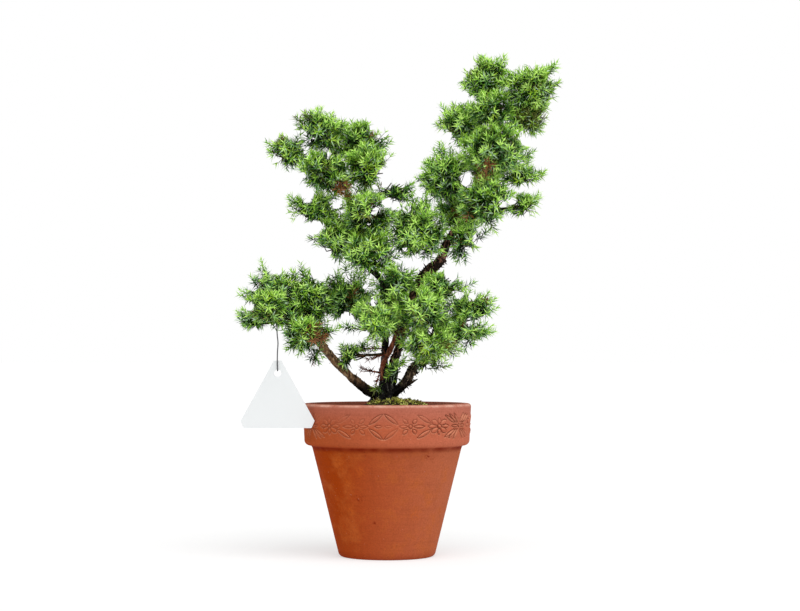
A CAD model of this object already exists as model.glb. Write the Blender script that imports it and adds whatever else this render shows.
# A young needle juniper in a terracotta pot, with a blank hang tag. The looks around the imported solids.
import math
import random
from collections import namedtuple

import bmesh
import bpy
import numpy as np
from mathutils import Matrix, Vector, noise


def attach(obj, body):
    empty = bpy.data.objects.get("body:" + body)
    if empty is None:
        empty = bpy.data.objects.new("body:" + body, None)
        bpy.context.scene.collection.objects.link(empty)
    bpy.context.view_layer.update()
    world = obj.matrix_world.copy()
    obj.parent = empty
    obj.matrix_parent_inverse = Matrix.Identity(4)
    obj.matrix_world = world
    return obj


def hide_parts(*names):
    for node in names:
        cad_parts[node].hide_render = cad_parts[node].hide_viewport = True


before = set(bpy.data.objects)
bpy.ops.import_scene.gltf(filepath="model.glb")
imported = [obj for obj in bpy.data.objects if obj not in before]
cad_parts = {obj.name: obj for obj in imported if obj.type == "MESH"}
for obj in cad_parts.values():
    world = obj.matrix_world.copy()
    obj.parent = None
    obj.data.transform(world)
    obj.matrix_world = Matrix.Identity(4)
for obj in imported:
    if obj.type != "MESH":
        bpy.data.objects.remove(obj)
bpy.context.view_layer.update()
scene = bpy.context.scene
up = np.array((0.0, 0.0, 1.0))
fullTurn = 2 * math.pi
goldenAngle = math.pi * (3 - math.sqrt(5))
print("frame loaded:", len(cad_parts), "solids")

studio = {
    "floorRadius": 40.0,
    "floorShade": 0.46,
    "floorGlow": 0.53,
    "worldStrength": 0.66,
    "sunStrength": 1.75,
    "sunAngle": math.radians(50),
    "sunFrom": (0.22, -0.65, 1.2),
    "cameraAt": (0.0139, -2.1, 0.216),
    "aimAt": (0.0139, 0.0, 0.2674),
    "lens": 88.2,
}


def metres(rows, parts=10):
    # from tenths of a millimetre, or from other parts of one
    return np.array(rows) / (1000 * parts)


def unit(vector):
    return vector / np.maximum(np.linalg.norm(vector, axis=-1, keepdims=True), 1e-12)


def sizes(vectors):
    return np.linalg.norm(vectors, axis=1)


def bell(value, width):
    # 1 at nought, and next to nothing a few widths away
    return np.exp(-((value / width) ** 2))


def bentLine(start, bend, end, t):
    return (1 - t) ** 2 * start + 2 * t * (1 - t) * bend + t**2 * end


def newMesh(points, faces, finishes, finishOf=None, smooth=True):
    mesh = bpy.data.meshes.new("mesh")
    mesh.from_pydata(points, [], faces)
    for finish in finishes:
        mesh.materials.append(finish.material)
    if finishOf is not None:
        mesh.polygons.foreach_set("material_index", np.asarray(finishOf, np.int32))
    mesh.validate()
    if smooth:
        mesh.shade_smooth()
    return mesh


def addObject(name, data):
    thing = bpy.data.objects.new(name, data)
    scene.collection.objects.link(thing)
    return thing


def addPiece(name, mesh, slot, *replaced, sharpFrom=None):
    # a piece on the plant's one body, shown in the place of some solids
    mesh.name = name
    if sharpFrom:
        mesh.set_sharp_from_angle(angle=math.radians(sharpFrom))
    piece = addObject(name, mesh)
    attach(piece, "root")
    if replaced:
        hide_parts(*replaced)
    return piece


def addValue(piece, name, values):
    # a number on every point of a piece, for its finish to read
    attribute = piece.data.attributes.new(name, "FLOAT", "POINT")
    attribute.data.foreach_set("value", np.asarray(values, np.float32))


def smoothRoute(points, cuts):
    # a Catmull-Rom curve through rows of numbers
    rows = [2 * points[0] - points[1], *points, 2 * points[-1] - points[-2]]
    route = []
    for before, start, end, after in zip(rows, rows[1:], rows[2:], rows[3:]):
        bend = 2 * before - 5 * start + 4 * end - after
        twist = 3 * start - before - 3 * end + after
        for t in np.arange(cuts) / cuts:
            route.append(0.5 * (2 * start + (end - before) * t + bend * t**2 + twist * t**3))
    return np.array([*route, points[-1]])


def evenRoute(route, step):
    # the same route with its points a step apart
    place = distancesAlong(route)
    wanted = np.linspace(0.0, place[-1], max(int(place[-1] / step), 2) + 1)
    return np.stack([np.interp(wanted, place, column) for column in route.T], axis=1)


def distancesAlong(route):
    steps = sizes(np.diff(route[:, :3], axis=0))
    return np.concatenate(([0.0], np.cumsum(steps)))


def pointAlong(route, share):
    # the row at a share of a route's length, and the direction there
    place = distancesAlong(route)
    wanted = share * place[-1]
    row = np.array([np.interp(wanted, place, column) for column in route.T])
    index = max(min(int(np.searchsorted(place, wanted)), len(place) - 1), 1)
    return row, unit(route[index, :3] - route[index - 1, :3])


def ringQuads(index):
    # quads between rings of points: the last axis goes round a ring, the one before it from ring to ring
    after = np.roll(index, -1, axis=-1)
    corners = (index[..., :-1, :], index[..., 1:, :], after[..., 1:, :], after[..., :-1, :])
    return np.stack(corners, axis=-1).reshape(-1, 4)


def tubeMesh(route, sides):
    # points and faces of a closed round tube along rows of x, y, z, radius, and the way out at each point
    tangents = unit(np.gradient(route[:, :3], axis=0))
    side = unit(np.cross(tangents[0], (0.3, 1.0, 0.2)))
    across = []
    for tangent in tangents:
        # carried along without twisting
        side = unit(side - tangent * np.dot(side, tangent))
        across.append(side)
    across = np.array(across)
    turn = np.linspace(0, fullTurn, sides, endpoint=False)[:, None]
    ring = np.cos(turn) * across[:, None] + np.sin(turn) * np.cross(tangents, across)[:, None]
    points = route[:, None, :3] + ring * route[:, None, 3:4]
    index = np.arange(len(route) * sides).reshape(-1, sides)
    faces = ringQuads(index)[:, (0, 3, 2, 1)].tolist() + [index[0][::-1].tolist(), index[-1].tolist()]
    return points.reshape(-1, 3), faces, ring.reshape(-1, 3)


def joinMeshes(meshes):
    points, faces, total = [], [], 0
    for somePoints, someFaces in meshes:
        points.append(somePoints)
        faces += [[corner + total for corner in face] for face in someFaces]
        total += len(somePoints)
    return np.concatenate(points), faces


class Finish:
    # a material whose base colour is laid on in layers
    def __init__(self, name, colour, roughness, specular=None, under=None):
        self.material = bpy.data.materials.new(name)
        self.material.use_nodes = True
        self.tree = self.material.node_tree
        self.shader = self.tree.nodes["Principled BSDF"]
        self.base, self.normal = under or colour, None
        self.give("Base Color", colour)
        self.give("Roughness", roughness)
        if specular is not None:
            self.give("Specular IOR Level", specular)

    def put(self, socket, value):
        # a number, a colour or what another node gives
        if isinstance(value, bpy.types.NodeSocket):
            self.tree.links.new(value, socket)
        else:
            socket.default_value = (*value, 1.0) if socket.type == "RGBA" else value

    def give(self, name, value):
        self.put(self.shader.inputs[name], value)

    def node(self, kind, output, values):
        node = self.tree.nodes.new("ShaderNode" + kind)
        if kind == "Mix":
            node.data_type = "RGBA"
        for name, value in values.items():
            self.put(node.inputs[name], value)
        return node.outputs[output]

    def noise(self, scale, detail=4.0, roughness=0.6, stretch=None):
        place = self.node("TexCoord", "Object", {})
        if stretch:
            place = self.node("Mapping", "Vector", {"Vector": place, "Scale": stretch})
        values = {"Vector": place, "Scale": scale, "Detail": detail, "Roughness": roughness}
        return self.node("TexNoise", "Fac", values)

    def along(self, axis):
        return self.node("SeparateXYZ", axis, {"Vector": self.node("TexCoord", "Object", {})})

    def carried(self, name):
        # a number that the mesh has on its points
        value = self.node("Attribute", "Fac", {})
        value.node.attribute_name = name
        return value

    def ramp(self, value, low, high):
        # 0 to 1 as a value goes from low to high
        return self.node("MapRange", "Result", {"Value": value, "From Min": low, "From Max": high})

    def mix(self, share, first, second):
        return self.node("Mix", 2, {0: share, 6: first, 7: second})

    def layer(self, share, colour):
        self.base = self.mix(share, self.base, colour)
        self.give("Base Color", self.base)

    def patches(self, colour, low, high, *texture):
        # a layer where some noise is high
        self.layer(self.ramp(self.noise(*texture), low, high), colour)

    def roughen(self, low, high, *texture):
        self.give("Roughness", self.ramp(self.noise(*texture), low, high))

    def bump(self, strength, distance, *texture):
        # on top of the bumps before it
        values = {"Strength": strength, "Distance": distance, "Height": self.noise(*texture)}
        if self.normal is not None:
            values["Normal"] = self.normal
        self.normal = self.node("Bump", "Normal", values)
        self.give("Normal", self.normal)


# The pot, turned round Z, with a pressed frieze round its collar

pot = {
    "height": 0.1628,
    "collarRadius": 0.090,
    "collarHeight": 0.0445,
    "collarDraft": 0.0018,
    "collarFootRound": 0.0055,
    "shoulderDrop": 0.006,
    "bodyTopRadius": 0.0788,
    "footRadius": 0.052,
    "footRound": 0.005,
    "footLean": math.radians(-12),
    "wall": 0.0085,
    "floor": 0.010,
    "lipRound": 0.003,
    "coarseColumns": 280,
    "fineColumns": 1120,  # a whole number of times the coarse ones
    "wobble": 0.00022,
    "pits": 0.00010,
    # orange blushes and dark marks on the body: degrees round from the front, height and size
    "blushes": (
        (-34, 0.082, 0.005), (-37, 0.052, 0.005), (28, 0.048, 0.006), (-42, 0.102, 0.006),
        (-22, 0.094, 0.005),
    ),
    "marks": (
        (-23, 0.066, 0.0022), (-26, 0.064, 0.0018), (33, 0.1085, 0.003), (38, 0.106, 0.0024),
        (-12, 0.04, 0.0018),
    ),
    "spotsBelow": 0.115,
    # where the lip is worn pale and where grime gathers under the collar: how far down, and how wide
    "lipWear": (0.0014, 0.0011),
    "collarGrime": (0.0018, 0.0021),
    "footGrime": 0.006,
}

frieze = {
    "middle": 0.1407,  # height of the band's centre line
    "halfHeight": 0.0152,
    "fade": 0.001,
    "rowStep": 0.00052,
    "centre": math.radians(-2.0),  # where the diamond stands
    "repeats": 3,
    "grooveWidth": 0.60,  # the rest of the frieze is in millimetres
    "grooveDepth": 1.3,
    "veinWidth": 0.3,
    "cutShade": 0.62,
    "puff": 1.5,
    "flowerAt": 28.6,
    "daisyAt": 62.7,
    "daisyReach": (14.0, 8.6),
    "leafHalfWidth": 1.8,
    "slimHalfWidth": 1.15,
}


def potInnerRadius(height):
    share = height / pot["height"]
    return pot["footRadius"] - pot["wall"] + (pot["collarRadius"] - pot["footRadius"]) * 0.97 * share


def friezeStrokes():
    # leaves and petals go from x, y to x, y with a half width; buttons are x, radius
    leaf, slim = frieze["leafHalfWidth"], frieze["slimHalfWidth"]
    edge = math.pi / frieze["repeats"] * pot["collarRadius"] * 1000
    leaves = []
    for side in (1, -1):
        for x0, y0, x1, y1, width in (
            (0.8, 13.0, 15.2, 2.2, leaf),
            (36.2, 11.8, 52.2, 3.2, leaf),
            (edge - 23.6, 11.4, edge - 8.0, 3.2, slim),
            (edge - 17.4, 12.4, edge - 4.4, 3.2, slim),
            (edge - 9.8, 13.2, edge - 1.6, 3.2, slim),
            (20.2, 7.6, 25.4, 3.2, 1.9),
            (31.2, 3.0, 35.0, 7.4, 1.9),
        ):
            leaves.append((x0, y0 * side, x1, y1 * side, width))
    leaves += [(1.2, 0, 9.0, 0, 1.2), (16.4, 0, 25.6, 0, 1.4), (31.6, 0, 44.8, 0, 1.4)]
    leaves.append((edge - 13.2, 0, edge - 1.8, 0, 1.2))
    daisy, (wide, high) = frieze["daisyAt"], frieze["daisyReach"]
    for petal in range(8):
        x, y = math.cos(petal * math.pi / 4), math.sin(petal * math.pi / 4)
        leaves.append((daisy + 2.4 * x, 2.2 * y, daisy + wide * x, high * y, 2.7 if petal % 2 else 2.0))
    return leaves, ((frieze["flowerAt"], 1.9), (daisy, 2.0), (edge, 1.5))


def noiseRound(angles, height, around, upward, kind=noise.noise):
    # noise on a turned surface: how busy it is round the axis and up it
    places = [(around * math.sin(angle), around * math.cos(angle), height * upward) for angle in angles]
    return np.array([kind(Vector(place)) for place in places])


def friezeRelief(angle, height):
    # how far the clay stands out in millimetres, and how deep in a cut line and how rubbed it is, from 0 to 1
    period = fullTurn / frieze["repeats"]
    folded = np.abs((angle - frieze["centre"] + period / 2) % period - period / 2)
    x = folded * pot["collarRadius"] * 1000
    y = (height - frieze["middle"]) * 1000
    cut, rise, light = np.zeros((3, len(x)))
    leaves, buttons = friezeStrokes()
    for x0, y0, x1, y1, width in leaves:
        length = math.hypot(x1 - x0, y1 - y0)
        cosine, sine = (x1 - x0) / length, (y1 - y0) / length
        along = ((x - x0) * cosine + (y - y0) * sine) / length
        across = np.abs((y - y0) * cosine - (x - x0) * sine)
        belly = width * np.sin(math.pi * np.clip(along, 0, 1)) ** 0.75
        beyond = np.maximum(np.maximum(-along, along - 1), 0) * length
        cut = np.maximum(cut, bell(np.hypot(across - belly, beyond), frieze["grooveWidth"]))
        inside = np.sqrt(np.clip((belly - across) / width, 0, 1) * (beyond == 0))
        rise = np.maximum(rise, inside)
        if width == frieze["slimHalfWidth"]:
            light = np.maximum(light, inside)
        if width == frieze["leafHalfWidth"]:
            cut = np.maximum(cut, bell(across, frieze["veinWidth"]) * (along > 0.15) * (along < 0.8) * 0.35)
    for middle, radius in buttons:
        far = np.hypot(x - middle, y)
        cut = np.maximum(cut, bell(far - radius, frieze["grooveWidth"]))
        rise = np.where(far < radius, np.sqrt(np.maximum(1 - (far / radius) ** 2, 0)) * 1.4, rise)
    # pressed more lightly on one side, and worn away in places
    around = (np.degrees(angle) + 180) % 360 - 180
    strength = 0.52 + 0.45 * np.cos(angle - math.radians(52))
    strength = np.maximum(strength, 0.9 * bell(around + 66, 12))
    strength = np.maximum(strength, 0.75 * np.clip((np.abs(around) - 84) / 16, 0, 1))
    worn = noiseRound(angle, height, 2.4, 45, lambda place: noise.fractal(place, 0.8, 2.0, 3))
    strength = np.clip(strength - np.maximum(worn, 0) * 0.7, 0.12, 1)
    cut, rise = cut * strength * (1 - 0.6 * light), rise * strength
    return rise * frieze["puff"] - cut * frieze["grooveDepth"], cut, light * strength


def potProfile():
    # rows of radius, height and whether the row is fine, from the inside floor over the lip to the foot
    lip, foot, bend = pot["lipRound"], pot["footRound"], pot["collarFootRound"]
    top, collar, bodyTop = pot["height"], pot["collarRadius"], pot["bodyTopRadius"]
    collarFoot = top - pot["collarHeight"]
    bandTop, bandFoot = frieze["middle"] + frieze["halfHeight"], frieze["middle"] - frieze["halfHeight"]
    slope = pot["collarDraft"] / (top - lip - collarFoot - bend)
    rows = []

    def inner(heights):
        rows.extend((potInnerRadius(h), h, False) for h in heights)

    def outer(heights, fine=False):
        rows.extend((collar - slope * (top - lip - h), h, fine) for h in heights)

    def arc(radius, height, size, start, end, count):
        # rows round a circle, in degrees from level
        for turn in np.radians(np.linspace(start, end, count)):
            rows.append((radius + size * math.cos(turn), height + size * math.sin(turn), False))

    inner(np.linspace(pot["floor"], top - lip - 0.012, 6))
    inner(np.linspace(top - lip - 0.011, top - lip, 9))
    arc(potInnerRadius(top) + lip, top - lip, lip, 165, 95, 5)
    arc(collar - lip, top - lip, lip, 90, 0, 8)
    outer(np.linspace(top - lip - 0.0015, bandTop + 0.001, 4))
    outer(np.arange(bandTop, bandFoot, -frieze["rowStep"]), True)
    low = collarFoot + bend
    outer(h for h in np.linspace(bandFoot - 0.0006, low + 0.001, 4) if h > low)
    arc(collar - slope * (top - lip - low) - bend, low, bend, 0, -80, 8)
    for out, down in ((0.0030, 0.0001), (0.0016, 0.0012), (0.0008, 0.0030)):
        rows.append((bodyTop + out, collarFoot - down, False))
    shoulder = collarFoot - pot["shoulderDrop"]
    footTop = foot + foot * math.sin(pot["footLean"])
    footWide = pot["footRadius"] - foot + foot * math.cos(pot["footLean"])
    for share in np.linspace(0, 1, 74):
        rows.append((bodyTop + (footWide - bodyTop) * share, shoulder + (footTop - shoulder) * share, False))
    arc(pot["footRadius"] - foot, foot, foot, -22, -90, 7)
    return rows


def turnedMesh(rows, coarse, fine, place):
    # rings joined by quads, and by longer faces where a coarse ring meets a fine one
    points, faces, rings, total = [], [], [], 0
    for radius, height, isFine in rows:
        count = fine if isFine else coarse
        points.append(place(radius, height, np.arange(count) * fullTurn / count, isFine))
        rings.append(np.arange(total, total + count))
        total += count
    step = fine // coarse
    for above, below in zip(rings, rings[1:]):
        if len(above) == len(below):
            faces += ringQuads(np.stack((above, below))).tolist()
            continue
        few, many = (above, below) if len(above) < len(below) else (below, above)
        for i in range(len(few)):
            run = [many[(i * step + k) % len(many)] for k in range(step + 1)]
            face = [few[i], few[(i + 1) % len(few)], *reversed(run)]
            faces.append(face[::-1] if few is above else face)
    return np.concatenate(points), faces + [rings[0], rings[-1][::-1]]


def terracottaFinish():
    finish = Finish("terracotta", (0.34, 0.072, 0.020), 0.86, 0.04, (0.350, 0.044, 0.001))
    dark, scuff = (0.13, 0.024, 0.006), (0.72, 0.42, 0.32)
    # one side is paler than the other, and the collar is pinker than the body, most of all near its lip
    finish.layer(finish.ramp(finish.along("X"), -0.052, 0.062), (0.490, 0.130, 0.058))
    finish.patches((0.52, 0.125, 0.025), 0.50, 0.86, 34, 7, 0.70)
    side = finish.ramp(finish.along("X"), -0.090, 0.110)
    collar = finish.mix(side, (0.385, 0.068, 0.012), (0.580, 0.168, 0.098))
    finish.layer(finish.ramp(finish.along("Z"), 0.114, 0.122), collar)
    finish.layer(finish.ramp(finish.along("Z"), 0.138, 0.185), (0.44, 0.170, 0.135))
    # stains, streaks, rings from turning, grain, pale specks and pocks
    for colour, *texture in (
        (dark, 0.56, 1.5, 17, 8, 0.72, (1, 1, 0.5)),
        (dark, 0.56, 2.0, 120, 5, 0.65, (1, 1, 0.12)),
        (dark, 0.50, 2.4, 40, 5, 0.6, (0.4, 0.4, 8)),
        (dark, 0.42, 1.35, 620, 4, 0.7),
        (scuff, 0.69, 0.90, 500, 3, 0.6),
        (dark, 0.735, 0.80, 400, 2, 0.5),
    ):
        finish.patches(colour, *texture)
    for name, colour in (
        ("blush", (0.56, 0.115, 0.014)),
        ("wear", scuff),
        ("grime", (0.165, 0.008, 0.000)),
        ("carving", (0.125, 0.026, 0.012)),
        ("raised", (0.78, 0.34, 0.20)),
    ):
        finish.layer(finish.carried(name), colour)
    rough = {"Value": finish.noise(60, 4), "To Min": 0.74, "To Max": 0.95}
    finish.give("Roughness", finish.node("MapRange", "Result", rough))
    finish.bump(0.30, 0.0003, 1100, 3)
    finish.bump(0.35, 0.0008, 60, 5, 0.6, (1, 1, 9))
    return finish


def makePot():
    values = {name: [] for name in ("carving", "raised", "wear", "grime", "blush")}
    top, collarFoot = pot["height"], pot["height"] - pot["collarHeight"]

    def place(radius, height, angles, isFine):
        low, fine = noiseRound(angles, height, 3, 22), noiseRound(angles, height, 40, 900)
        out = radius + (low * pot["wobble"] - np.maximum(fine - 0.25, 0) * pot["pits"] * 4)
        cut = light = np.zeros(len(angles))
        if isFine:
            fade = min(1.0, (frieze["halfHeight"] - abs(height - frieze["middle"])) / frieze["fade"])
            relief, cut, light = (part * fade for part in friezeRelief(angles, height))
            out += relief / 1000
        # the lip is worn pale, and grime gathers under the collar and at the foot
        (lipDown, lipWide), (creaseDown, creaseWide) = pot["lipWear"], pot["collarGrime"]
        lip = bell(height - top + lipDown, lipWide) if radius > 0.083 else 0.0
        crease = bell(height - collarFoot + creaseDown, creaseWide) + 0.35 * bell(height, pot["footGrime"])
        chips, flecks = noiseRound(angles, height, 11, 90), noiseRound(angles, height, 55, 700)
        spots = {}
        for kind in ("blushes", "marks"):
            spots[kind] = np.zeros(len(angles))
            for turn, middle, size in pot[kind] if height < pot["spotsBelow"] else ():
                across = ((angles - math.radians(turn) + math.pi) % fullTurn - math.pi) * radius
                spots[kind] += bell(np.hypot(across, height - middle), size)
        inside = radius < 0.077 and height > 0.008
        dirt = crease * (0.85 + 0.4 * chips) * (not inside) + spots["marks"] * (0.16 + 2.2 * flecks)
        values["carving"].append(cut)
        values["raised"].append(light * 0.45)
        values["wear"].append(np.clip(lip * (0.56 + 0.6 * chips + 0.5 * flecks), 0, 0.85))
        values["grime"].append(np.clip(dirt, 0, 0.97))
        values["blush"].append(np.clip(spots["blushes"] * (0.22 + 0.9 * flecks), 0, 0.38))
        return np.stack((out * np.sin(angles), -out * np.cos(angles), np.full(len(angles), height)), 1)

    points, faces = turnedMesh(potProfile(), pot["coarseColumns"], pot["fineColumns"], place)
    mesh = newMesh(points, faces, [terracottaFinish()])
    piece = addPiece("clayPot", mesh, "terracotta", "pot", sharpFrom=50)
    # the lower side of each cut line is rubbed pale
    cuts, edges = values["carving"], values["raised"]
    for index, (above, here, below) in enumerate(zip(cuts, cuts[1:], cuts[2:]), 1):
        if len(above) == len(below) == len(here):
            edges[index] = np.maximum(np.clip((above - below) * 0.75, 0, 0.6), edges[index])
        else:
            edges[index] = np.zeros(len(here))
    values["carving"] = [cut * frieze["cutShade"] for cut in cuts]
    for name, rows in values.items():
        addValue(piece, name, np.concatenate(rows))
    print("pot:", len(points), "points")


makePot()


# The wood: the trunk, its boughs and its leaders

ground = 0.165

Limb = namedtuple("Limb", "finish spikes rough flakes points")

# each limb's bark, its spikes, how rough it is, its flakes, and x, y, z and radius along it in tenths of
# a millimetre
limbs = {
    "trunk": Limb("bark", 10, 1.0, 0, (
        (-36, 0, 1630, 152), (-30, 0, 1690, 118), (-10, 0, 1780, 94), (8, 0, 1880, 87), (10, 5, 1980, 92),
    )),
    "left_bough": Limb("brown_bark", 34, 1.0, 0, (
        (-60, -10, 1715, 60), (-180, -20, 1755, 54), (-260, -40, 1810, 49), (-420, -70, 1945, 45),
        (-560, -90, 2085, 43), (-720, -110, 2275, 40), (-820, -120, 2420, 32), (-940, -130, 2560, 24),
    )),
    "right_bough": Limb("rough_bark", 34, 1.7, 26, (
        (30, -10, 1720, 54), (120, -20, 1775, 49), (200, -30, 1855, 46), (260, -40, 1965, 45),
        (320, -50, 2045, 44), (410, -60, 2130, 42), (580, -70, 2210, 32), (740, -80, 2300, 22),
    )),
    "front_stem": Limb("red_bark", 34, 1.0, 0, (
        (-45, -52, 1940, 31), (-45, -58, 2010, 30), (-15, -78, 2110, 28), (35, -95, 2205, 27),
        (80, -115, 2300, 25), (100, -140, 2420, 19),
    )),
    "left_leader": Limb("bark", 60, 1.0, 0, (
        (-30, 50, 1940, 38), (-30, 60, 2060, 37), (-10, 80, 2450, 36), (-40, 100, 2780, 35),
        (-60, 100, 2950, 34), (-180, 80, 3080, 33), (-290, 70, 3290, 31), (-370, 60, 3550, 28),
        (-430, 60, 3890, 24), (-480, 80, 4220, 17),
    )),
    "right_leader": Limb("flaky_bark", 150, 2.4, 130, (
        (60, 10, 1940, 46), (70, 20, 2060, 44), (120, 40, 2200, 43), (190, 60, 2480, 43),
        (270, 80, 2770, 43), (385, 80, 2990, 49), (550, 50, 3130, 51), (620, 40, 3290, 44),
        (720, 70, 3480, 38), (855, 80, 3620, 34), (1055, 80, 4090, 28), (1150, 100, 4430, 23),
        (1210, 120, 4760, 16),
    )),
}

barkRelief = {
    "step": 0.0008,
    "sidesPerMillimetre": 6.6,
    "ridge": 0.30,  # as a share of the radius
    "flake": 0.0026,
    "flare": 0.24,
    "flareHeight": 0.016,
    "lobes": 5,
}

# x, y, z of the start and the end, and the radius, in tenths of a millimetre
deadBranches = (
    (-75, -50, 1955, -280, -100, 2005, 12), (-50, -60, 2215, -335, -120, 2220, 9),
    (-85, -60, 1930, -120, -80, 1830, 10), (10, -90, 2160, -210, -160, 2100, 10),
    (-700, -130, 2250, -790, -200, 2050, 8),
)
stubs = {
    "right_bough": ((255, -50, 1925, 340, -60, 1965, 27), (220, -40, 1835, 310, -60, 1868, 28)),
    "left_bough": ((-330, -60, 1880, -338, -70, 1960, 11),),
    "right_leader": (
        (440, 40, 3050, 345, 0, 3080, 12), (360, 60, 2935, 420, 20, 2880, 13),
        (640, 40, 3320, 720, -20, 3300, 12),
    ),
}

# whether the foot is dark, the noise from which the bark peels, and the dark, brown, pale and green colours
barks = {
    "bark": (
        False, 0.54,
        (0.001, 0.0008, 0.001), (0.006, 0.005, 0.0045), (0.12, 0.11, 0.10), (0.03, 0.03, 0.015),
    ),
    "rough_bark": (
        True, 0.52,
        (0.003, 0.002, 0.002), (0.065, 0.042, 0.026), (0.46, 0.34, 0.22), (0.2, 0.2, 0.07),
    ),
    "flaky_bark": (
        False, 0.51,
        (0.002, 0.001, 0.001), (0.018, 0.008, 0.006), (0.4, 0.19, 0.14), (0.03, 0.015, 0.01),
    ),
    "brown_bark": (
        True, 0.54,
        (0.007, 0.004, 0.002), (0.25, 0.135, 0.065), (0.6, 0.4, 0.22), (0.16, 0.11, 0.04),
    ),
    "red_bark": (
        False, 0.54,
        (0.028, 0.006, 0.003), (0.25, 0.062, 0.028), (0.46, 0.18, 0.10), (0.1, 0.05, 0.02),
    ),
    "twig_bark": (
        False, 0.54,
        (0.01, 0.01, 0.003), (0.04, 0.03, 0.01), (0.11, 0.06, 0.03), (0.03, 0.07, 0.012),
    ),
}
routes = {name: smoothRoute(metres(limb.points), 6) for name, limb in limbs.items()}
stemRoutes = {name: smoothRoute(metres(limb.points), 2) for name, limb in limbs.items()}


def barkFinish(name):
    darkFoot, peelFrom, dark, brown, pale, green = barks[name]
    finish = Finish(name, brown, 0.9, 0.12, dark)
    finish.patches(brown, 0.40, 0.58, 260, 6, 0.7, (1, 1, 0.35))
    finish.patches(pale, peelFrom, peelFrom + 0.12, 400, 4, 0.6, (1, 1, 0.4))
    finish.patches(green, 0.60, 0.74, 70, 4, 0.6)
    if darkFoot:
        finish.give("Base Color", finish.mix(finish.ramp(finish.along("Z"), 0.179, 0.191), dark, finish.base))
    finish.roughen(0.0, 1.05, 300, 3)
    finish.bump(0.5, 0.0004, 1500, 3, 0.6, (1, 1, 0.35))
    finish.bump(0.8, 0.0009, 520, 4, 0.65, (1, 1, 0.22))
    return finish


def barkMesh(name, route, rough=1.0, flareAt=None):
    # a limb with long ridges and lifted flakes, and lobes where it meets the ground
    route = evenRoute(route, barkRelief["step"])
    sides = int(min(max(route[:, 3].max() * 1000 * barkRelief["sidesPerMillimetre"], 18), 96))
    points, faces, rings = tubeMesh(route, sides)
    seed = random.Random(name).uniform(0, 50)
    for index in range(len(points)):
        row, column = divmod(index, sides)
        along = row * barkRelief["step"] * 1000
        turn = column * fullTurn / sides
        radius = route[row, 3]
        around = Vector((math.cos(turn) * 1.5 + seed, math.sin(turn) * 1.5, along * 0.075))
        relief = noise.fractal(around, 0.8, 2.2, 4) * barkRelief["ridge"] * radius
        near = Vector((math.cos(turn) * radius * 900 + seed, math.sin(turn) * radius * 900, along * 0.34))
        lifted = max(noise.turbulence(near, 3, False) - 0.46, 0) * rough
        relief += lifted * barkRelief["flake"] * min(radius / 0.004, 1.4)
        if flareAt is not None:
            low = max(0.0, 1 - (points[index][2] - flareAt) / barkRelief["flareHeight"])
            relief += low**2 * barkRelief["flare"] * radius * math.cos(barkRelief["lobes"] * turn + seed)
        points[index] += rings[index] * relief
    return points, faces


def anyWay(rng, most=1.0):
    return np.array([rng.uniform(-most, most) for _ in range(3)])


def spikeMesh(foot, way, length, radius, rng, sides=5, stations=5):
    # a dead twig that thins to its tip and bends a little
    bend = anyWay(rng, 0.25) * length
    t = np.linspace(0, 1, stations)[:, None]
    rows = np.concatenate((foot + way * length * t + bend * t**2, radius * (1 - 0.85 * t)), axis=1)
    return tubeMesh(rows, sides)[:2]


def limbSpikes(rng, route, count, reach=0.0065):
    # stubs, dead twigs and old needles that stand out from a limb
    meshes = []
    for _ in range(count):
        row, along = pointAlong(route, rng.uniform(0.06, 0.97))
        side = unit(np.cross(along, anyWay(rng)))
        way = unit(side + along * rng.uniform(-0.2, 1.0) + up * rng.uniform(-0.3, 0.4))
        length = reach * rng.uniform(0.3, 1.0) ** 1.5
        thick = rng.uniform(0.16, 0.34) * row[3] if length < reach * 0.45 else rng.uniform(0.0003, 0.0006)
        meshes.append(spikeMesh(row[:3] + side * row[3] * 0.6, way, length, thick, rng))
    return meshes


def barkFlakes(rng, route, count):
    # curled scraps of bark that lift off a limb
    meshes = []
    for _ in range(count):
        row, along = pointAlong(route, rng.uniform(0.14, 0.44))
        side = unit(np.cross(along, anyWay(rng)))
        way = unit(side * rng.uniform(0.5, 1.2) + along * rng.uniform(-0.8, 0.8))
        foot = row[:3] + side * row[3] * 0.75
        meshes.append(spikeMesh(foot, way, rng.uniform(0.0026, 0.0064), rng.uniform(0.0008, 0.0016), rng))
    return meshes


def branchMeshes(rng, branches, sides, stations, spikesPerMetre):
    # bare side branches, with a few spikes left on some of them
    meshes = []
    for *ends, radius in metres(branches):
        start, end = np.array(ends[:3]), np.array(ends[3:])
        length = np.linalg.norm(end - start)
        way = (end - start) / length
        meshes.append(spikeMesh(start, way, length, radius, rng, sides, stations))
        for _ in range(int(length * spikesPerMetre)):
            foot = start + way * length * rng.uniform(0.15, 1.0)
            out = unit(anyWay(rng) + way * 0.5)
            far, thick = rng.uniform(0.003, 0.0085), rng.uniform(0.0003, 0.0006)
            meshes.append(spikeMesh(foot, out, far, thick, rng, 4, 4))
    return meshes


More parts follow.
